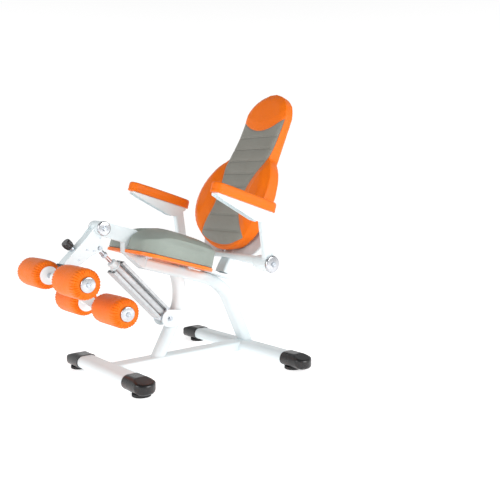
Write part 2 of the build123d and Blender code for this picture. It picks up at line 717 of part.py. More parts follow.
def roller_parts(level, spot, side):
    x, y = spot
    z0, z1 = side * ROLLER_IN, side * ROLLER_OUT
    core = local_rod(x, y, CORE_RADIUS, z0, side * (ROLLER_OUT - 4))
    core += local_rod(x, y, 36, side * (ROLLER_IN - 5), z0)
    core -= local_rod(x, y, ROLLER_AXLE + FIT, side * (ROLLER_IN - 8), side * (ROLLER_OUT + 1))
    pad = local_rod(x, y, ROLLER_RADIUS, z0 + side * 0.2, z1)
    rims = [e for e in pad.edges() if e.geom_type == GeomType.CIRCLE]
    pad = fillet(rims, 14)
    pad -= local_rod(x, y, CORE_RADIUS, z0 - side * 2, side * (ROLLER_OUT + 2))
    cap = Pos(x, y, 0) * dome(29, 7, side * (ROLLER_OUT + 0.3), side, 5)
    cap += local_rod(x, y, 6, side * (ROLLER_OUT + 7), side * (ROLLER_OUT + 10))
    cap += local_rod(x, y, CORE_RADIUS - 0.5, side * (ROLLER_OUT - 2.5), side * (ROLLER_OUT + 0.4))
    name = f"{level}_{'right' if side > 0 else 'left'}"
    return {
        f"roller_core_{name}": LEVER * core,
        f"roller_pad_{name}": LEVER * pad,
        f"roller_cap_{name}": LEVER * cap,
    }


def carriage_parts():
    parts = {
        "carriage_inner_tube": inner_tube(),
        "roller_crossbar": crossbar(),
        "upper_roller_axle": roller_axle(UPPER_ROLLER),
        "lower_roller_axle": roller_axle(LOWER_ROLLER),
    }
    for level, spot in (("upper", UPPER_ROLLER), ("lower", LOWER_ROLLER)):
        for side in (1, -1):
            parts.update(roller_parts(level, spot, side))
    return parts


# --------------------------------------------------------------------------- cylinder
def strut_rod(x0, x1, radius, y=0.0):
    """Cylinder along the strut, local x."""
    return Pos((x0 + x1) / 2, y, 0) * Rot(0, 90, 0) * Cylinder(radius, abs(x1 - x0))


def profile_section():
    """Extruded barrel: round body between ribbed flanges; x is Y, y is across the strut."""
    wide = PROFILE_WIDE / 2
    deep = PROFILE_DEEP / 2
    body = Circle(24.5)
    for side in (1, -1):
        body += Pos(0, side * (deep - 2)) * Rectangle(PROFILE_WIDE, 4)
        body += Pos(0, side * (deep - 7)) * Rectangle(12, 10)
        for across in (1, -1):
            body += Pos(across * (wide - 1.5), side * (deep - 6)) * Rectangle(3, 12)
            body += Pos(across * (wide - 4), side * (deep - 11.5)) * Rectangle(8, 2.5)
            body += Pos(across * 19.5, side * (deep - 8)) * Rectangle(3, 12)
            body += Pos(across * 15, side * (deep - 13)) * Rectangle(8, 5)
    return body - Circle(BORE_RADIUS)


def cylinder_profile():
    ends = Plane(origin=(BODY_START, 0, 0), x_dir=(0, 0, 1), z_dir=(1, 0, 0))
    return STRUT * extrude(ends * profile_section(), BODY_END - 12 - BODY_START)


def cylinder_gland():
    flange = strut_rod(BODY_START - 28, BODY_START, 19) + strut_rod(BODY_START - 4, BODY_START, 24)
    plug = strut_rod(BODY_START, BODY_START + 22, BORE_RADIUS)
    bore = strut_rod(BODY_START - 40, BODY_START + 40, ROD_RADIUS + FIT)
    return STRUT * (flange + plug - bore)


def cylinder_base():
    """Lower end plate with the eye on the bracket bolt."""
    plate = Pos(BODY_END - 6, 0, 0) * Box(12, PROFILE_DEEP, PROFILE_WIDE)
    neck = Pos((BODY_END + ROD_SPAN) / 2 - 2, 0, 0) * Box(ROD_SPAN - BODY_END, 22, 24)
    eye = Pos(ROD_SPAN, 0, 0) * Cylinder(12.5, 24)
    hole = Pos(ROD_SPAN, 0, 0) * Cylinder(PIN_RADIUS + 1 + FIT, 60)
    plug = strut_rod(BODY_END - 20, BODY_END - 12, BORE_RADIUS)
    return STRUT * (plate + neck + eye + plug - hole)


PISTON_AT = 215.0


def rod_parts():
    ex, ey = EYE_OFFSET
    rod = strut_rod(ex + 44, PISTON_AT + 20, ROD_RADIUS)
    piston = strut_rod(PISTON_AT, PISTON_AT + 20, BORE_RADIUS - FIT)
    piston -= strut_rod(PISTON_AT - 1, PISTON_AT + 21, ROD_RADIUS)
    nut_plane = Plane(origin=(ex + 44, 0, 0), x_dir=(0, 1, 0), z_dir=(1, 0, 0))
    nut = extrude(nut_plane * RegularPolygon(14, 6), 11) - strut_rod(0, 90, ROD_RADIUS)
    eye = Pos(ex, ey, 0) * Cylinder(EYE_RADIUS, 20)
    shank = strut_rod(ex + 10, ex + 44, 10)
    hole = Pos(ex, ey, 0) * Cylinder(EYE_HOLE, 60)
    end = eye + shank - hole
    return {
        "piston_rod": STRUT * rod,
        "piston": STRUT * piston,
        "rod_jam_nut": STRUT * nut,
        "rod_end": STRUT * end,
    }


def cylinder_parts():
    parts = {
        "cylinder_profile": cylinder_profile(),
        "cylinder_gland": cylinder_gland(),
        "cylinder_base_eye": cylinder_base(),
    }
    parts.update(rod_parts())
    return parts


def all_parts():
    parts = {}
    parts.update(base_parts())
    parts.update(frame_parts())
    parts["pivot_arm"] = pivot_arm()
    parts["pivot_axle"] = pivot_axle()
    parts["cylinder_bracket_plates"] = group(*cylinder_bracket())
    parts["cylinder_pivot_bolt"] = cylinder_bolt()
    parts.update(seat_parts())
    parts.update(backrest_parts())
    parts["arm_cross_tube"] = arm_cross_tube()
    parts["arm_bushes"] = group(*arm_bushes())
    parts.update(arm_parts(1))
    parts.update(arm_parts(-1))
    parts.update(lever_parts())
    parts.update(carriage_parts())
    parts.update(cylinder_parts())
    return parts


os.makedirs("parts", exist_ok=True)
for node, shape in all_parts().items():
    export_step(Pos(ORIGIN_X, 0, 0) * shape, f"parts/{node}.step")
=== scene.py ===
import bpy
import json
import math
import random
import numpy as np
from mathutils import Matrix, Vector
from mathutils.bvhtree import BVHTree


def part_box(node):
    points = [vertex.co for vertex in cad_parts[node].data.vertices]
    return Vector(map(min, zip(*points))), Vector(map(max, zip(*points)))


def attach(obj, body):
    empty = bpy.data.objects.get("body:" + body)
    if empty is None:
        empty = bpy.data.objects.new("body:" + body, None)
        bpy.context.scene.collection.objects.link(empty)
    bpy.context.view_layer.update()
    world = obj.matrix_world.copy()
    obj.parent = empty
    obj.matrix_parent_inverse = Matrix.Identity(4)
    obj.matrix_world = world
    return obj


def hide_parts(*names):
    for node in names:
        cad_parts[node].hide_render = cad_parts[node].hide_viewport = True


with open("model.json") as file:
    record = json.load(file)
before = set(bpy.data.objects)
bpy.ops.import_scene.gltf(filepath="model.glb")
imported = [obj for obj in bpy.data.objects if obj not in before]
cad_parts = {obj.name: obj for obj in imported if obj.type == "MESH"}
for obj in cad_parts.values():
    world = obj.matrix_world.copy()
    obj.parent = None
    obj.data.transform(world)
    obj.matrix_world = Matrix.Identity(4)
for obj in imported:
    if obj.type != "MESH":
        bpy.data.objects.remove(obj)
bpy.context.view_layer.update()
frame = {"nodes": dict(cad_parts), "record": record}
NODES = frame["nodes"]
RECORD = frame["record"]
SCENE = bpy.context.scene

# ------------------------------------------------------------------ reference frames
MOUNTS = {m["name"]: m["pos_m"] for m in RECORD["mounts"]}
FOOT_LINE = MOUNTS["front_left_foot"][0]


def side_dir(angle):
    """Direction in the side view, degrees above +X."""
    rad = math.radians(angle)
    return np.array((math.cos(rad), 0.0, math.sin(rad)))


Y_AXIS = np.array((0.0, 1.0, 0.0))
BACK_ANGLE = 66.0
BACK_FOOT = np.array((0.580 + FOOT_LINE, 0.0, 0.507))
BACK_UP = side_dir(BACK_ANGLE)
BACK_FORWARD = side_dir(BACK_ANGLE + 90.0)
SEAT_FOOT = np.array((0.100 + FOOT_LINE, 0.0, 0.530))
SEAT_UP = side_dir(74.5)
ARM_CENTRE = np.array((0.461 + FOOT_LINE, 0.0, 0.745))
ARM_UP = side_dir(73.5)


# ------------------------------------------------------------------------- materials
def srgb(r, g, b):
    """8-bit display colour as linear RGBA."""
    def lin(c):
        c = c / 255
        return c / 12.92 if c <= 0.04045 else ((c + 0.055) / 1.055) ** 2.4
    return (lin(r), lin(g), lin(b), 1.0)


class Graph:
    """Small helper to lay out one node material."""

    def __init__(self, name):
        self.mat = bpy.data.materials.new(name)
        self.mat.use_nodes = True
        self.tree = self.mat.node_tree
        self.tree.nodes.clear()
        self.out = self.add("ShaderNodeOutputMaterial")
        self.shader = self.add("ShaderNodeBsdfPrincipled")
        self.join(self.shader, "BSDF", self.out, "Surface")
        self.coords = self.add("ShaderNodeTexCoord")
        self.height = None

    def add(self, kind, **values):
        node = self.tree.nodes.new(kind)
        for key, value in values.items():
            if hasattr(node, key):
                setattr(node, key, value)
            else:
                node.inputs[key.replace("_", " ")].default_value = value
        return node

    def join(self, a, a_out, b, b_in):
        self.tree.links.new(a.outputs[a_out], b.inputs[b_in])

    def set(self, **values):
        for key, value in values.items():
            self.shader.inputs[key.replace("_", " ")].default_value = value

    def math(self, op, a, b=None, clamp=False):
        node = self.add("ShaderNodeMath", operation=op, use_clamp=clamp)
        for i, v in enumerate((a, b)):
            if v is None:
                continue
            if isinstance(v, (int, float)):
                node.inputs[i].default_value = v
            else:
                self.tree.links.new(v, node.inputs[i])
        return node.outputs[0]

    def noise(self, scale, detail=3.0, stretch=None, rough=0.5):
        node = self.add("ShaderNodeTexNoise", Scale=scale, Detail=detail, Roughness=rough)
        self.point(node, stretch)
        return node.outputs["Fac"]

    def cells(self, scale, feature="DISTANCE_TO_EDGE", stretch=None):
        node = self.add("ShaderNodeTexVoronoi", Scale=scale, feature=feature)
        self.point(node, stretch)
        return node.outputs["Distance"]

    def point(self, node, stretch):
        if stretch is None:
            self.join(self.coords, "Object", node, "Vector")
            return
        mapping = self.add("ShaderNodeMapping", Scale=stretch)
        self.join(self.coords, "Object", mapping, "Vector")
        self.join(mapping, "Vector", node, "Vector")

    def ramp(self, source, low, high, a=0.0, b=1.0):
        node = self.add("ShaderNodeMapRange")
        self.tree.links.new(source, node.inputs["Value"])
        for key, value in (("From Min", low), ("From Max", high), ("To Min", a), ("To Max", b)):
            node.inputs[key].default_value = value
        return node.outputs["Result"]

    def mix(self, factor, a, b):
        node = self.add("ShaderNodeMix", data_type="RGBA")
        for slot, value in ((0, factor), (6, a), (7, b)):
            if isinstance(value, (int, float, tuple)):
                node.inputs[slot].default_value = value
            else:
                self.tree.links.new(value, node.inputs[slot])
        return node.outputs[2]

    def bump(self, source, distance, strength=1.0):
        node = self.add("ShaderNodeBump", Distance=distance, Strength=strength)
        self.tree.links.new(source, node.inputs["Height"])
        if self.height is not None:
            self.tree.links.new(self.height, node.inputs["Normal"])
        self.height = node.outputs["Normal"]

    def colour(self, source):
        self.tree.links.new(source, self.shader.inputs["Base Color"])

    def rough(self, source):
        self.tree.links.new(source, self.shader.inputs["Roughness"])

    def done(self):
        if self.height is not None:
            self.tree.links.new(self.height, self.shader.inputs["Normal"])
        return self.mat


def powder_coat(name, colour):
    """Powder coat: orange-peel skin with faint patches of handling dirt."""
    g = Graph(name)
    patch = g.noise(5, 4)
    soft = tuple(c * 0.965 for c in colour[:3]) + (1.0,)
    base = g.mix(g.ramp(patch, 0.35, 0.75), colour, soft)
    specks = g.ramp(g.noise(240, 3), 0.70, 0.76, 0.0, 0.10)
    g.colour(g.mix(specks, base, srgb(176, 176, 178)))
    g.rough(g.ramp(g.noise(22, 3), 0.3, 0.7, 0.30, 0.40))
    g.bump(g.noise(460, 2), 0.00016, 0.35)
    g.set(Coat_Weight=0.22, Coat_Roughness=0.18)
    return g.done()


def vinyl(name, colour, deep, panel=None, rough=(0.36, 0.5)):
    """Upholstery vinyl: pebbled grain, soft creases and a little rubbed shine.

    With panel, the mesh attribute of that name splits it in two colours at zero."""
    g = Graph(name)
    tone = g.ramp(g.noise(7, 3), 0.3, 0.75)
    base = g.mix(tone, colour, deep)
    if panel is not None:
        attribute = g.add("ShaderNodeAttribute", attribute_name="panel")
        inside = g.ramp(attribute.outputs["Fac"], -0.0004, 0.0004)
        inner = g.mix(tone, panel[0], panel[1])
        base = g.mix(inside, base, inner)
    grain = g.cells(620)
    pore = g.ramp(grain, 0.0, 0.16)
    # painted shade: the base colour is darkened by up to 22 % toward black in the recesses between the
    # grain's pebbles
    pore_shaded_colour = g.mix(g.ramp(pore, 0.0, 1.0, 0.22, 0.0), base, (0.0, 0.0, 0.0, 1.0))
    g.colour(pore_shaded_colour)
    g.rough(g.ramp(g.noise(30, 3), 0.3, 0.7, *rough))
    g.bump(g.noise(26, 3, rough=0.6), 0.0012, 0.35)
    g.bump(pore, 0.00022, 0.55)
    g.set(Coat_Weight=0.03, Coat_Roughness=0.32, Specular_IOR_Level=0.24)
    return g.done()


def moulded(name, colour, rough, grain=0.0, coat=0.0):
    """Moulded plastic or rubber with flow marks and an optional spark grain."""
    g = Graph(name)
    lighter = tuple(min(1.0, c * 1.25 + 0.004) for c in colour[:3]) + (1.0,)
    g.colour(g.mix(g.ramp(g.noise(14, 4), 0.35, 0.75), colour, lighter))
    g.rough(g.ramp(g.noise(45, 3), 0.3, 0.7, rough * 0.85, rough * 1.2))
    g.bump(g.noise(900, 2), 0.0002, 0.12 + grain)
    g.set(Coat_Weight=coat, Coat_Roughness=0.12)
    return g.done()


def metal(name, colour, rough, brushed=None, fleck=0.0):
    """Bare or plated metal; brushed gives the stretch of its drawing lines."""
    g = Graph(name)
    darker = tuple(c * 0.82 for c in colour[:3]) + (1.0,)
    g.colour(g.mix(g.ramp(g.noise(60, 4), 0.35, 0.75), colour, darker))
    g.set(Metallic=1.0)
    if brushed is not None:
        lines = g.noise(1.0, 2, stretch=brushed)
        g.rough(g.ramp(lines, 0.3, 0.7, rough * 0.8, rough * 1.5))
        g.bump(lines, 0.00008, 0.4)
    else:
        g.rough(g.ramp(g.noise(160, 3), 0.3, 0.7, rough * 0.8, rough * 1.3))
        g.bump(g.noise(700, 2), 0.00008, 0.15 + fleck)
    return g.done()


def thread(name, colour):
    g = Graph(name)
    twist = g.add("ShaderNodeTexWave", Scale=900, Distortion=1.0)
    g.join(g.coords, "Object", twist, "Vector")
    darker = tuple(c * 0.6 for c in colour[:3]) + (1.0,)
    # painted shade: the low parts of the twist, which the bump below sinks, are drawn 40 % darker
    g.colour(g.mix(twist.outputs["Fac"], darker, colour))
    g.bump(twist.outputs["Fac"], 0.0002, 0.6)
    g.set(Roughness=0.7, Sheen_Weight=0.2)
    return g.done()


ORANGE = srgb(250, 120, 0)
ORANGE_DEEP = srgb(243, 111, 0)
PANEL_GREY = srgb(148, 147, 139)
PANEL_DEEP = srgb(138, 137, 129)
SEAT_GREY = srgb(160, 170, 162)
SEAT_DEEP = srgb(148, 158, 150)

MATERIALS = {
    "white_paint": powder_coat("white_powder_coat", srgb(224, 235, 238)),
    "foot_plastic": moulded("black_gloss_plastic", srgb(8, 9, 11), 0.30, 0.0, 0.2),
    "foot_rubber": moulded("black_rubber", srgb(30, 30, 31), 0.7, 0.4),
    "grey_vinyl": vinyl("grey_vinyl", SEAT_GREY, SEAT_DEEP),
    "orange_vinyl": vinyl("orange_vinyl", ORANGE, ORANGE_DEEP),
    "orange_board": moulded("orange_board", srgb(246, 116, 4), 0.4, 0.2),
    "shell_plastic": moulded("light_grey_shell", srgb(192, 194, 196), 0.42, 0.5),
    "zinc_steel": metal("zinc_plate", srgb(196, 203, 210), 0.26),
    "chrome_cap": metal("chrome", srgb(205, 207, 211), 0.16),
    "chrome_rod": metal("hard_chrome", srgb(222, 222, 226), 0.09),
    "silver_aluminium": metal("anodised_aluminium", srgb(196, 199, 201), 0.34, (300, 300, 300)),
    "bronze_bush": metal("sintered_bronze", srgb(176, 132, 78), 0.42, None, 0.3),
    "white_plastic": moulded("white_plastic", srgb(236, 237, 238), 0.32, 0.1, 0.2),
    "black_plastic": moulded("black_plastic", srgb(26, 26, 27), 0.45, 0.3),
    "knob_plastic": moulded("knob_plastic", srgb(18, 18, 20), 0.26, 0.1, 0.4),
    "spring_steel": metal("spring_steel", srgb(150, 150, 152), 0.3),
}
BACK_VINYL = vinyl("back_vinyl", ORANGE, ORANGE_DEEP, (PANEL_GREY, PANEL_DEEP))
ORANGE_THREAD = thread("orange_thread", srgb(205, 92, 32))
GREY_THREAD = thread("grey_thread", srgb(96, 96, 92))
SLOT_OF = {s["node"]: s["material_slot"] for s in RECORD["subparts"]}


def dress(node_name, material):
    """Gives a CAD node its material on the object, leaving the mesh alone."""
    node = NODES[node_name]
    if not node.material_slots:
        node.data.materials.append(material)
    for index in range(len(node.material_slots)):
        node.material_slots[index].link = "OBJECT"
        node.material_slots[index].material = material


for node_name in NODES:
    dress(node_name, MATERIALS[SLOT_OF[node_name]])


# ---------------------------------------------------------------------- mesh helpers
def new_object(name, mesh, material=None):
    piece = bpy.data.objects.new(name, mesh)
    SCENE.collection.objects.link(piece)
    if material is not None:
        mesh.materials.clear()
        mesh.materials.append(material)
    return piece


def mesh_from(name, verts, faces, material, smooth=True):
    mesh = bpy.data.meshes.new(name)
    mesh.from_pydata([tuple(v) for v in verts], [], faces)
    mesh.update()
    if smooth:
        mesh.polygons.foreach_set("use_smooth", [True] * len(mesh.polygons))
    return new_object(name, mesh, material)


def skin(faces, low, high, count):
    """Joins two closed rings of count points, given by their first points."""
    for k in range(count):
        n = (k + 1) % count
        faces.append((low + k, low + n, high + n, high + k))


def settle(piece):
    """Applies the modifiers by taking the evaluated mesh."""
    graph = bpy.context.evaluated_depsgraph_get()
    made = bpy.data.meshes.new_from_object(piece.evaluated_get(graph))
    piece.modifiers.clear()
    piece.data = made
    return piece


def coords(piece):
    co = np.zeros(len(piece.data.vertices) * 3, np.float32)
    piece.data.vertices.foreach_get("co", co)
    return co.reshape(-1, 3).astype(float)


def normals(piece):
    no = np.zeros(len(piece.data.vertices) * 3, np.float32)
    piece.data.vertex_normals.foreach_get("vector", no)
    return no.reshape(-1, 3).astype(float)


def put(piece, co):
    piece.data.vertices.foreach_set("co", co.astype(np.float32).ravel())
    piece.data.update()


def attribute(piece, name, values):
    made = piece.data.attributes.new(name, "FLOAT", "POINT")
    made.data.foreach_set("value", values.astype(np.float32))


def subdivide(piece, levels=1):
    mod = piece.modifiers.new("subdivide", "SUBSURF")
    mod.levels = levels
    mod.render_levels = levels
    settle(piece)
    piece.data.polygons.foreach_set("use_smooth", [True] * len(piece.data.polygons))


def remeshed(node, name, voxel, relax, material):
    """Even mesh of a CAD solid, in a new object."""
    piece = new_object(name, NODES[node].data.copy(), material)
    mod = piece.modifiers.new("remesh", "REMESH")
    mod.mode = "VOXEL"
    mod.voxel_size = voxel
    mod = piece.modifiers.new("relax", "SMOOTH")
    mod.factor = 0.5
    mod.iterations = relax
    return settle(piece)


CLOTH_FRAMES = 20
CLOTH_PRESSURE = 4.0
SWELL_SMOOTHING = 14
SWELL_INWARD = 0.001


def inflate(piece, held, cap):
    """Swells the cover with cloth under pressure, then keeps the smoothed normal part.

    cap is the furthest that a point may move out."""
    rest = coords(piece)
    grain = normals(piece)
    group = piece.vertex_groups.new(name="held")
    group.add([int(i) for i in np.nonzero(held)[0]], 1.0, "REPLACE")
    mod = piece.modifiers.new("cloth", "CLOTH")
    cloth = mod.settings
    cloth.quality = 4
    cloth.mass = 0.35
    cloth.tension_stiffness = 30
    cloth.compression_stiffness = 30
    cloth.shear_stiffness = 12
    cloth.bending_stiffness = 8
    cloth.use_pressure = True
    cloth.uniform_pressure_force = CLOTH_PRESSURE
    cloth.vertex_group_mass = "held"
    cloth.effector_weights.gravity = 0.0
    mod.collision_settings.use_collision = False
    for step in range(1, CLOTH_FRAMES + 1):
        SCENE.frame_set(step)
    settle(piece)
    SCENE.frame_set(1)
    move = coords(piece) - rest
    length = np.linalg.norm(move, axis=1, keepdims=True)
    put(piece, rest + move * np.minimum(1.0, cap / np.maximum(length, 1e-9)))
    mod = piece.modifiers.new("even", "SMOOTH")
    mod.factor = 0.5
    mod.iterations = SWELL_SMOOTHING
    settle(piece)
    swell = np.sum((coords(piece) - rest) * grain, axis=1)
    swell = np.clip(swell, -SWELL_INWARD, cap)
    put(piece, rest + grain * swell[:, None])


def step_up(x, low, high):
    t = np.clip((x - low) / (high - low), 0, 1)
    return t * t * (3 - 2 * t)


def curve_through(points, x):
    """Smooth interpolation (monotone where the points are) of a table of numbers."""
    px = np.array([p[0] for p in points], float)
    py = np.array([p[1] for p in points], float)
    slope = np.gradient(py, px)
    i = np.clip(np.searchsorted(px, x) - 1, 0, len(px) - 2)
    h = px[i + 1] - px[i]
    t = np.clip((x - px[i]) / h, 0, 1)
    return ((2 * t**3 - 3 * t**2 + 1) * py[i] + (t**3 - 2 * t**2 + t) * h * slope[i]
            + (3 * t**2 - 2 * t**3) * py[i + 1] + (t**3 - t**2) * h * slope[i + 1])


def soft_piece(piece, node, body):
    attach(piece, body)
    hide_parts(node)


STITCH_LENGTH = 0.0042
STITCH_PITCH = 0.0066
STITCH_RADIUS = 0.00055
STITCH_SIDES = 6
STITCH_RINGS = ((-0.5, 0.35), (-0.3, 1.0), (0.3, 1.0), (0.5, 0.35))   # along, radius


def stitch_row(name, runs, material, body):
    """Short thread stitches along runs of (point, normal) pairs on a surface."""
    verts, faces = [], []
    for run in runs:
        travelled = 0.0
        due = STITCH_PITCH / 2
        for (p, n), (q, m) in zip(run, run[1:]):
            step = (q - p).length
            while travelled + step >= due and step > 1e-9:
                at = p.lerp(q, (due - travelled) / step)
                along = (q - p).normalized()
                up = n.lerp(m, 0.5).normalized()
                add_stitch(verts, faces, at + up * STITCH_RADIUS * 0.35, along, up)
                due += STITCH_PITCH
            travelled += step
    piece = mesh_from(name, verts, faces, material)
    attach(piece, body)


def add_stitch(verts, faces, centre, along, up):
    """One closed stitch, its two ends thin and sunk into the cover."""
    side = along.cross(up).normalized()
    start = len(verts)
    sides = STITCH_SIDES
    for t, r in STITCH_RINGS:
        radius = STITCH_RADIUS * r
        lift = -0.5 * STITCH_RADIUS if abs(t) > 0.4 else 0.0
        for k in range(sides):
            a = 2 * math.pi * k / sides
            verts.append(centre + along * (t * STITCH_LENGTH) + side * (math.cos(a) * radius)
                         + up * (math.sin(a) * radius + lift))
    for ring in range(len(STITCH_RINGS) - 1):
        skin(faces, start + ring * sides, start + (ring + 1) * sides, sides)
    last = start + (len(STITCH_RINGS) - 1) * sides
    faces.append(tuple(start + k for k in reversed(range(sides))))
    faces.append(tuple(last + k for k in range(sides)))


def tree_of(piece):
    return BVHTree.FromPolygons([v.co.copy() for v in piece.data.vertices],
                                [tuple(p.vertices) for p in piece.data.polygons])


def dropped(tree, points, direction, reach=0.3):
    """Points let fall on a surface along a direction, as (point, normal) runs."""
    run = []
    d = Vector(direction)
    for p in points:
        hit, normal, _, _ = tree.ray_cast(Vector(p) - d * reach, d)
        if hit is not None:
            run.append((hit, normal))
    return run


# -------------------------------------------------------------------------- backrest
NECK_EDGE = 0.1385              # half width of the grey panel along the neck
# Half width of the grey panel at each height above the backrest's foot.
WAIST = ((0.0, 0.152), (0.055, 0.150), (0.120, 0.121), (0.185, 0.094), (0.240, 0.090), (0.300, 0.099),
         (0.360, 0.117), (0.410, 0.134), (0.440, NECK_EDGE), (0.560, NECK_EDGE), (0.800, NECK_EDGE))
CHANNELS = (0.076, 0.149, 0.220, 0.290, 0.358, 0.425, 0.491, 0.556)
CHANNEL_ENDS = (0.020, 0.610)
CHANNEL_PUFF = 0.0034
CHANNEL_GROOVE = 0.0030
GROOVE_WIDTH = 0.0036
SEAM_GROOVE = 0.0032
BOLSTER_PUFF = 0.017
HEAD_PUFF = 0.0065
PANEL_DISH = 0.006
PIPING_GROOVE = 0.0016
BACK_SHRINK = 0.0022
BACK_SWELL = 0.007
BACK_HELD = 0.0455              # the cover is held behind this depth
LOBE_CENTRE = 0.243


def panel_bottom(y):
    return 0.020 + (y / 0.150) ** 2 * 0.036


def panel_top(y):
    return 0.593 + (y / 0.140) ** 2 * 0.055


def back_coords(co):
    rel = co - BACK_FOOT
    return rel @ Y_AXIS, rel @ BACK_UP, -(rel @ BACK_FORWARD)


def panel_field(y, s, off):
    """Positive inside the grey centre panel, about a distance in metres."""
    field = np.minimum(curve_through(WAIST, s) - np.abs(y), s - panel_bottom(y))
    field = np.minimum(field, (panel_top(y) - s) * 0.85)
    return np.minimum(field, 0.012 - off)


def build_backrest():
    node = "backrest_cushion"
    piece = remeshed(node, "backrest_upholstery", 0.0055, 6, BACK_VINYL)
    co = coords(piece)
    y, s, off = back_coords(co)
    no = normals(piece)
    rear = off > BACK_HELD
    co -= no * (BACK_SHRINK * (1 - step_up(off, 0.040, 0.046)))[:, None]
    put(piece, co)
    inflate(piece, rear, BACK_SWELL)
    subdivide(piece)
    co = coords(piece)
    no = normals(piece)
    y, s, off = back_coords(co)
    facing = step_up(no @ BACK_FORWARD, 0.15, 0.75)
    field = panel_field(y, s, off)
    head = s - panel_top(y)
    inside = step_up(field, 0.0, 0.040)
    lift = np.zeros(len(co))
    for low, high in zip(CHANNEL_ENDS[:1] + CHANNELS, CHANNELS + CHANNEL_ENDS[1:]):
        t = np.clip((s - low) / (high - low), 0, 1)
        lift += CHANNEL_PUFF * (1 - (2 * t - 1) ** 2) * inside * ((s > low) & (s <= high))
    for seam in CHANNELS:
        groove = np.exp(-((s - seam) / GROOVE_WIDTH) ** 2)
        lift -= CHANNEL_GROOVE * groove * step_up(field, 0.001, 0.010)
    bolster = step_up(-field, 0.0, 0.060) * step_up(s, 0.03, 0.12) * (1 - step_up(s, 0.40, 0.47))
    rim = 1 - step_up(np.hypot(y, s - LOBE_CENTRE), 0.195, 0.246)
    lift += BOLSTER_PUFF * bolster * (0.35 + 0.65 * rim)
    lift -= PANEL_DISH * inside * step_up(s, 0.05, 0.15) * (1 - step_up(s, 0.36, 0.46))
    lift += HEAD_PUFF * step_up(head, 0.0, 0.050)
    lift -= SEAM_GROOVE * np.exp(-(field / GROOVE_WIDTH) ** 2)
    put(piece, co + BACK_FORWARD * (lift * facing)[:, None])
    edgewise = 1 - step_up(np.abs(no @ BACK_FORWARD), 0.3, 0.6)
    groove = PIPING_GROOVE * np.exp(-((off - 0.036) / 0.0025) ** 2) * edgewise
    put(piece, coords(piece) - normals(piece) * groove[:, None])
    attribute(piece, "panel", field)
    soft_piece(piece, node, "frame")
    return piece


def back_point(y, s):
    return BACK_FOOT + Y_AXIS * y + BACK_UP * s


def stitch_backrest(piece):
    tree = tree_of(piece)
    grey, orange = [], []
    rearward = -BACK_FORWARD
    for seam in CHANNELS:
        half = float(curve_through(WAIST, np.array([seam]))[0]) - 0.008
        ys = np.linspace(-half, half, 90)
        grey.append(dropped(tree, [back_point(y, seam + 0.0042) for y in ys], rearward))
    for side in (1, -1):
        ss = np.linspace(0.075, 0.432, 120)
        half = curve_through(WAIST, ss) + 0.0052
        orange.append(dropped(tree, [back_point(side * h, s) for h, s in zip(half, ss)], rearward))
    ys = np.linspace(-0.128, 0.128, 100)
    orange.append(dropped(tree, [back_point(y, panel_top(y) + 0.0055) for y in ys], rearward))
    ys = np.linspace(-0.140, 0.140, 100)
    orange.append(dropped(tree, [back_point(y, panel_bottom(y) - 0.0052) for y in ys], rearward))
    stitch_row("backrest_channel_stitches", grey, GREY_THREAD, "frame")
    stitch_row("backrest_seam_stitches", orange, ORANGE_THREAD, "frame")


# ------------------------------------------------------------------------------ seat
SEAT_HALF = 0.173
SEAT_CROWN = 0.006
SEAT_ROLL = 0.034
SEAT_SHRINK = 0.0025
SEAT_SWELL = 0.007
SEAT_HELD = 0.004
SEAT_LOW = 0.0003               # no point of the cover goes below this


def build_seat():
    node = "seat_cushion"
    piece = remeshed(node, "seat_upholstery", 0.005, 5, MATERIALS["grey_vinyl"])
    co = coords(piece)
    no = normals(piece)
    up = (co - SEAT_FOOT) @ SEAT_UP
    co -= no * (SEAT_SHRINK * step_up(up, SEAT_HELD, 0.012))[:, None]
    put(piece, co)
    inflate(piece, up < SEAT_HELD, SEAT_SWELL)
    subdivide(piece)
    co = coords(piece)
    no = normals(piece)
    up = (co - SEAT_FOOT) @ SEAT_UP
    tilt = no @ SEAT_UP
    across = np.abs((co - SEAT_FOOT) @ Y_AXIS)
    crown = SEAT_CROWN - SEAT_ROLL * (across / SEAT_HALF) ** 2
    co += SEAT_UP * (crown * step_up(up, 0.030, 0.095))[:, None]
    seam = np.exp(-((tilt - 0.62) / 0.09) ** 2) * step_up(up, 0.05, 0.07)
    co -= no * (0.0009 * seam)[:, None]
    hem = 0.0014 * np.exp(-((up - 0.010) / 0.0025) ** 2) * (1 - step_up(np.abs(tilt), 0.3, 0.6))
    co -= no * hem[:, None]
    co += SEAT_UP * np.maximum(SEAT_LOW - ((co - SEAT_FOOT) @ SEAT_UP), 0)[:, None]
    put(piece, co)
    soft_piece(piece, node, "frame")


# ------------------------------------------------------------------------- arm pads
ARM_SHRINK = 0.002
ARM_SWELL = 0.004
ARM_HELD = -0.0205
ARM_LOW = -0.0226               # the pad's flat underside


def build_arm_pad(side):
    node = f"{side}_arm_pad"
    piece = remeshed(node, f"{side}_arm_upholstery", 0.004, 5, MATERIALS["orange_vinyl"])
    co = coords(piece)
    no = normals(piece)
    up = (co - ARM_CENTRE) @ ARM_UP
    co -= no * (ARM_SHRINK * step_up(up, ARM_HELD, -0.014))[:, None]
    put(piece, co)
    inflate(piece, up < ARM_HELD, ARM_SWELL)
    subdivide(piece)
    co = coords(piece)
    no = normals(piece)
    up = (co - ARM_CENTRE) @ ARM_UP
    level = 1 - step_up(np.abs(no @ ARM_UP), 0.35, 0.7)
    seam = 0.0013 * np.exp(-((up + 0.010) / 0.0022) ** 2) * level
    co -= no * seam[:, None]
    co += ARM_UP * np.maximum(ARM_LOW - ((co - ARM_CENTRE) @ ARM_UP), 0)[:, None]
    put(piece, co)
    soft_piece(piece, node, f"{side}_arm")


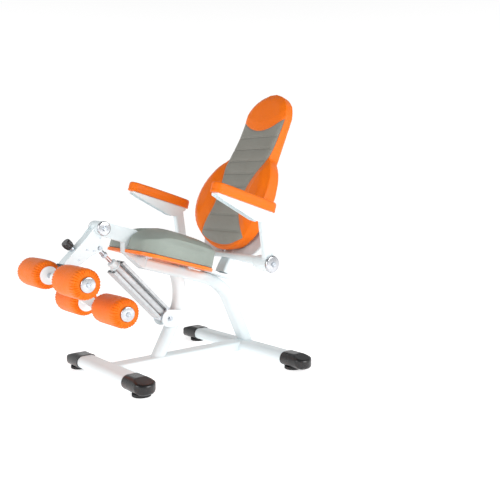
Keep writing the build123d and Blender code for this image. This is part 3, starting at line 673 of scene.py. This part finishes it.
# --------------------------------------------------------------------------- rollers
PLEATS = 32
PLEAT_DEPTH = 0.0030
PLEAT_SEGMENTS = 12
ROLLER_RADIUS = 0.0573
ROLLER_SHOULDER = 0.045         # pleats turn from the round side to the face here
ROLLER_BORE = 0.0195
ROLLER_RECESS = 0.0045
ROLLER_ROWS = 22                # rings of points along the round side
# (radius, depth) from the bore's edge, over the face and the rolled rim.
ROLLER_END = ((0.0205, 0.0040), (0.0260, 0.0022), (0.0310, 0.0008), (0.0370, 0.0), (0.0430, 0.0003),
              (0.0485, 0.0018), (0.0525, 0.0046), (0.0552, 0.0086), (0.0567, 0.0140), (0.0573, 0.0210))


def roller_profile(width):
    """(radius, distance from the -Y end, pleat depth) from face to face."""
    rows = []
    for (r0, d0), (r1, d1) in zip(ROLLER_END, ROLLER_END[1:]):
        for k in range(3):
            rows.append((r0 + (r1 - r0) * k / 3, d0 + (d1 - d0) * k / 3))
    rows.append(ROLLER_END[-1])
    half = [(r, d, PLEAT_DEPTH * float(step_up(r, 0.030, 0.046))) for r, d in rows]
    middle = []
    start = rows[-1][1]
    for k in range(1, ROLLER_ROWS):
        d = start + (width - 2 * start) * k / ROLLER_ROWS
        swell = 0.0009 * math.sin(math.pi * d / width)
        fade = 1 - float(step_up(min(d, width - d), 0.010, 0.026))
        middle.append((ROLLER_RADIUS + swell, d, PLEAT_DEPTH * fade))
    return half + middle + [(r, width - d, a) for r, d, a in reversed(half)]


def build_roller(name, seed):
    """Gathered roller cover, closed through its bore. Each pleat is drawn at random."""
    node = f"roller_pad_{name}"
    low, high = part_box(node)
    centre_x = (low.x + high.x) / 2
    centre_z = (low.z + high.z) / 2
    draw = random.Random(seed)
    jitter = [draw.uniform(-0.25, 0.25) for _ in range(PLEATS * 2)]
    weight = [draw.uniform(0.55, 1.25) for _ in range(PLEATS * 2)]
    rows = roller_profile(high.y - low.y)
    segments = PLEATS * PLEAT_SEGMENTS
    verts, faces = [], []
    for index, (radius, d, depth) in enumerate(rows):
        end = 0 if d < (high.y - low.y) / 2 else PLEATS
        for k in range(segments):
            a = 2 * math.pi * k / segments
            turn = a * PLEATS / (2 * math.pi)
            which = int(turn) % PLEATS + end
            phase = turn + jitter[which] * math.sin(math.pi * (turn % 1.0)) ** 2
            fold = abs(math.cos(math.pi * phase)) ** 4
            crease = depth * fold * weight[which]
            wave = 0.00035 * math.sin(3 * a + seed) + 0.00025 * math.sin(5 * a + 40 * d + seed)
            seam = 0.0011 * math.exp(-((a - 1.1) / 0.035) ** 2)
            r = radius - crease * (0.8 if radius > ROLLER_SHOULDER else 0.3)
            inward = crease
            if radius > 0.05:
                r += wave - seam
                inward = crease * 0.4
            y = low.y + d + (inward if end == 0 else -inward)
            verts.append((centre_x + r * math.cos(a), y, centre_z + r * math.sin(a)))
        if index:
            skin(faces, (index - 1) * segments, index * segments, segments)
    start = len(verts)
    for y in (high.y - ROLLER_RECESS, low.y + ROLLER_RECESS):
        for k in range(segments):
            a = 2 * math.pi * k / segments
            verts.append((centre_x + ROLLER_BORE * math.cos(a), y, centre_z + ROLLER_BORE * math.sin(a)))
    last = (len(rows) - 1) * segments
    for low_ring, high_ring in ((last, start), (start, start + segments), (start + segments, 0)):
        skin(faces, low_ring, high_ring, segments)
    piece = mesh_from(f"roller_cover_{name}", verts, faces, MATERIALS["orange_vinyl"])
    soft_piece(piece, node, f"roller_{name}")
    return piece


# ------------------------------------------------------------------------ small parts
HEX_SEGMENTS = 48
HEX_HEIGHT = 0.0045


def hex_bolt(name, centre, direction, across, body, slot):
    """Hex head with a chamfered crown, on a round washer."""
    d = Vector(direction).normalized()
    u = d.orthogonal().normalized()
    v = d.cross(u)
    verts, faces = [], []

    def ring(radius, h, corner=0.0):
        start = len(verts)
        for k in range(HEX_SEGMENTS):
            a = 2 * math.pi * k / HEX_SEGMENTS
            r = radius
            if corner:
                local = (a + math.pi / 6) % (math.pi / 3) - math.pi / 6
                r = min(corner, radius / math.cos(local))
            verts.append(Vector(centre) + u * (r * math.cos(a)) + v * (r * math.sin(a)) + d * h)
        return start

    half = across / 2
    washer = across * 0.62
    thick = washer * 0.16
    top = thick + HEX_HEIGHT
    rings = [ring(washer, 0), ring(washer, thick * 0.7), ring(washer * 0.95, thick),
             ring(half * 0.98, thick, across), ring(half, thick + 0.0003, across),
             ring(half, thick + HEX_HEIGHT * 0.78, across), ring(half * 0.93, top, half * 0.97),
             ring(half * 0.5, top), ring(half * 0.42, thick + HEX_HEIGHT * 0.93)]
    for low_ring, high_ring in zip(rings, rings[1:]):
        skin(faces, low_ring, high_ring, HEX_SEGMENTS)
    faces.append(tuple(rings[-1] + k for k in range(HEX_SEGMENTS)))
    faces.append(tuple(rings[0] + k for k in reversed(range(HEX_SEGMENTS))))
    piece = mesh_from(name, verts, faces, MATERIALS[slot], smooth=False)
    piece.data.set_sharp_from_angle(angle=math.radians(32))
    piece.data.polygons.foreach_set("use_smooth", [True] * len(piece.data.polygons))
    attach(piece, body)


CAP_SEGMENTS = 96
CAP_STEPS = 8                   # rings over the rolled edge, and over the dome
CAP_DOME = 0.0012


def turned_cap(name, centre, outward, radius, height, body):
    """Chrome cover turned in one piece: straight rim, rolled edge and a low dome."""
    roll = height * 0.6
    profile = [(radius * 0.90, 0.0), (radius, 0.0), (radius, height - roll)]
    for k in range(1, CAP_STEPS + 1):
        a = math.pi / 2 * k / CAP_STEPS
        profile.append((radius - roll * (1 - math.cos(a)), height - roll + roll * math.sin(a)))
    edge = profile[-1][0]
    for k in range(1, CAP_STEPS + 1):
        t = k / CAP_STEPS
        profile.append((edge * (1 - t) + 0.0005 * t, height + CAP_DOME * (1 - (1 - t) ** 2)))
    count = CAP_SEGMENTS
    verts, faces = [], []
    for r, h in profile:
        for k in range(count):
            a = 2 * math.pi * k / count
            verts.append((centre.x + r * math.cos(a), centre.y + outward * h, centre.z + r * math.sin(a)))
    for row in range(len(profile) - 1):
        for k in range(count):
            n = (k + 1) % count
            a, b = row * count, (row + 1) * count
            face = (a + k, a + n, b + n, b + k)
            faces.append(face if outward > 0 else face[::-1])
    top = tuple((len(profile) - 1) * count + k for k in range(count))
    bottom = tuple(reversed(range(count)))
    faces += [top, bottom] if outward > 0 else [top[::-1], bottom[::-1]]
    piece = mesh_from(name, verts, faces, MATERIALS["chrome_cap"])
    piece.data.set_sharp_from_angle(angle=math.radians(40))
    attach(piece, body)
    return piece


CAP_COVERS = {}
BOSS = 0.003                    # boss on each CAD cap, under its bolt
WASHER_GAP = 0.0008


def cap_bolt(node, body, outward, name, across, radius, height):
    """Chrome cover in the place of a CAD cap, with a hex bolt at its middle."""
    low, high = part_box(node)
    centre = (low + high) / 2
    centre.y = (high.y if outward > 0 else low.y) - outward * (BOSS + height)
    cover = turned_cap(name.replace("bolt", "cover"), centre, outward, radius, height, body)
    CAP_COVERS.setdefault(node, []).append(cover)
    centre.y += outward * (height + WASHER_GAP)
    hex_bolt(name, centre, (0, outward, 0), across, body, "zinc_steel")


WELD_RADIUS = 0.0022
WELD_FEWEST = 24                # a shorter run of points is not drawn


def weld_bead(name, points, body, radius, seed):
    """Painted weld: a rippled bead round a closed run of points."""
    draw = random.Random(seed)
    curve = bpy.data.curves.new(name, "CURVE")
    curve.dimensions = "3D"
    curve.bevel_depth = radius
    curve.bevel_resolution = 3
    curve.use_fill_caps = True
    spline = curve.splines.new("POLY")
    spline.points.add(len(points) - 1)
    for i, p in enumerate(points):
        spline.points[i].co = (*p, 1.0)
        spline.points[i].radius = 0.86 + 0.16 * abs(math.sin(i * 1.15)) + draw.uniform(-0.06, 0.06)
    spline.use_cyclic_u = True
    piece = bpy.data.objects.new(name, curve)
    SCENE.collection.objects.link(piece)
    curve.materials.append(MATERIALS["white_paint"])
    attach(piece, body)


def section_ring(centre, u, v, half_u, half_v, corner, count=96):
    """Points round a rounded rectangle in the plane of u and v."""
    ring = []
    for k in range(count):
        a = 2 * math.pi * k / count
        c, s = math.cos(a), math.sin(a)
        x = math.copysign(half_u - corner, c) + corner * c if corner < half_u else half_u * c
        y = math.copysign(half_v - corner, s) + corner * s if corner < half_v else half_v * s
        ring.append(Vector(centre) + Vector(u) * x + Vector(v) * y)
    return ring


def weld_round(name, centre, along, half_across, half_deep, corner, target, seed):
    """Weld bead where a tube of that section meets the target node.

    The tube's outline is let fall on the target along the tube's direction."""
    u = Vector((0.0, 1.0, 0.0)) if abs(along[1]) < 0.5 else Vector((1.0, 0.0, 0.0))
    d = Vector(along).normalized()
    v = d.cross(u).normalized()
    tree = tree_of(NODES[target])
    run = dropped(tree, section_ring(centre, u, v, half_across, half_deep, corner), d, 0.0)
    if len(run) > WELD_FEWEST:
        weld_bead(name, [hit[0] for hit in run], "frame", WELD_RADIUS, seed)


def build_welds():
    front = FOOT_LINE
    post_low = np.array((0.262 + front, 0.0, 0.104))
    weld_round("post_foot_weld", post_low, (-0.49, 0, -0.87), 0.030, 0.030, 0.030, "base_spine", 1)
    for name, x, d in (("front", 0.10, -1), ("rear", 0.60, 1)):
        centre = (x + front, 0, 0.0415)
        weld_round(f"spine_{name}_weld", centre, (d, 0, 0), 0.035, 0.024, 0.010,
                   f"{name}_cross_tube", 3 + d)


# ------------------------------------------------------------------------- build all
backrest = build_backrest()
stitch_backrest(backrest)
build_seat()
for arm_side in ("left", "right"):
    build_arm_pad(arm_side)
for roller_index, roller_name in enumerate(("upper_left", "upper_right", "lower_left", "lower_right")):
    build_roller(roller_name, roller_index + 3)
    cap_bolt(f"roller_cap_{roller_name}", f"roller_{roller_name}", 1 if "right" in roller_name else -1,
             f"roller_cap_bolt_{roller_name}", 0.016, 0.029, 0.007)
build_welds()
for arm_side, arm_out in (("left", -1), ("right", 1)):
    cap_bolt(f"{arm_side}_arm_hub_cap", f"{arm_side}_arm", arm_out,
             f"{arm_side}_arm_hub_bolt", 0.019, 0.037, 0.012)
for hub_side, hub_out in (("left", -1), ("right", 1)):
    cap_bolt("lever_hub_caps", "lever", hub_out,
             f"lever_hub_bolt_{hub_side}", 0.017, 0.0286, 0.009)
for cap_node, covers in CAP_COVERS.items():
    for cover in covers:
        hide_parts(cap_node)


# ------------------------------------------------------------------- camera and light
EYE = (-1.2893 + FOOT_LINE, -2.4148, 0.8)
LOOK_DOWN = 0.0984              # radians below level
HEADING = -0.7033
camera = bpy.data.objects.new("camera", bpy.data.cameras.new("camera"))
SCENE.collection.objects.link(camera)
camera.data.sensor_width = 36
camera.data.lens = 48.316
camera.location = EYE
camera.rotation_euler = (math.pi / 2 - LOOK_DOWN, 0, HEADING)
camera.data.clip_start = 0.05
SCENE.camera = camera


def area_light(name, place, target, size, power):
    data = bpy.data.lights.new(name, "AREA")
    data.shape = "SQUARE"
    data.size = size
    data.energy = power
    lamp = bpy.data.objects.new(name, data)
    SCENE.collection.objects.link(lamp)
    lamp.location = place
    lamp.rotation_euler = (Vector(target) - Vector(place)).to_track_quat("-Z", "Y").to_euler()


area_light("key", (1.6, -3.6, 1.9), (0.0, 0.0, 0.55), 1.8, 78)
area_light("fill", (-3.2, -1.2, 1.6), (0.0, 0.0, 0.6), 2.0, 44)


FLOOR_HALF = 14.0


def build_floor():
    g = Graph("studio_floor")
    g.colour(g.mix(g.ramp(g.noise(3, 3), 0.3, 0.7), srgb(247, 247, 248), srgb(250, 250, 250)))
    g.set(Roughness=0.85, Specular_IOR_Level=0.1, Emission_Color=(1, 1, 1, 1), Emission_Strength=0.66)
    corners = [(x * FLOOR_HALF, y * FLOOR_HALF, 0) for x, y in ((-1, -1), (1, -1), (1, 1), (-1, 1))]
    floor = mesh_from("studio_floor", corners, [(0, 1, 2, 3)], g.done())


def build_world():
    """Bright horizon, softer zenith, and gentle bands on the near side for the chrome."""
    world = bpy.data.worlds.new("studio")
    SCENE.world = world
    world.use_nodes = True
    tree = world.node_tree
    tree.nodes.clear()
    out = tree.nodes.new("ShaderNodeOutputWorld")
    back = tree.nodes.new("ShaderNodeBackground")
    tree.links.new(back.outputs[0], out.inputs[0])
    where = tree.nodes.new("ShaderNodeTexCoord")
    split = tree.nodes.new("ShaderNodeSeparateXYZ")
    tree.links.new(where.outputs["Generated"], split.inputs[0])

    def ranged(source, low, high, a, b):
        node = tree.nodes.new("ShaderNodeMapRange")
        node.interpolation_type = "SMOOTHSTEP"
        tree.links.new(source, node.inputs["Value"])
        for key, value in (("From Min", low), ("From Max", high), ("To Min", a), ("To Max", b)):
            node.inputs[key].default_value = value
        return node.outputs["Result"]

    zenith = ranged(split.outputs["Z"], 0.15, 0.7, 1.04, 0.30)
    near = ranged(split.outputs["Y"], -0.75, -0.25, 0.70, 1.0)
    product = tree.nodes.new("ShaderNodeMath")
    product.operation = "MULTIPLY"
    tree.links.new(zenith, product.inputs[0])
    tree.links.new(near, product.inputs[1])
    tree.links.new(product.outputs[0], back.inputs["Strength"])
    back.inputs["Color"].default_value = (1.0, 1.0, 1.0, 1.0)


build_floor()
build_world()
SCENE.view_settings.view_transform = "Standard"
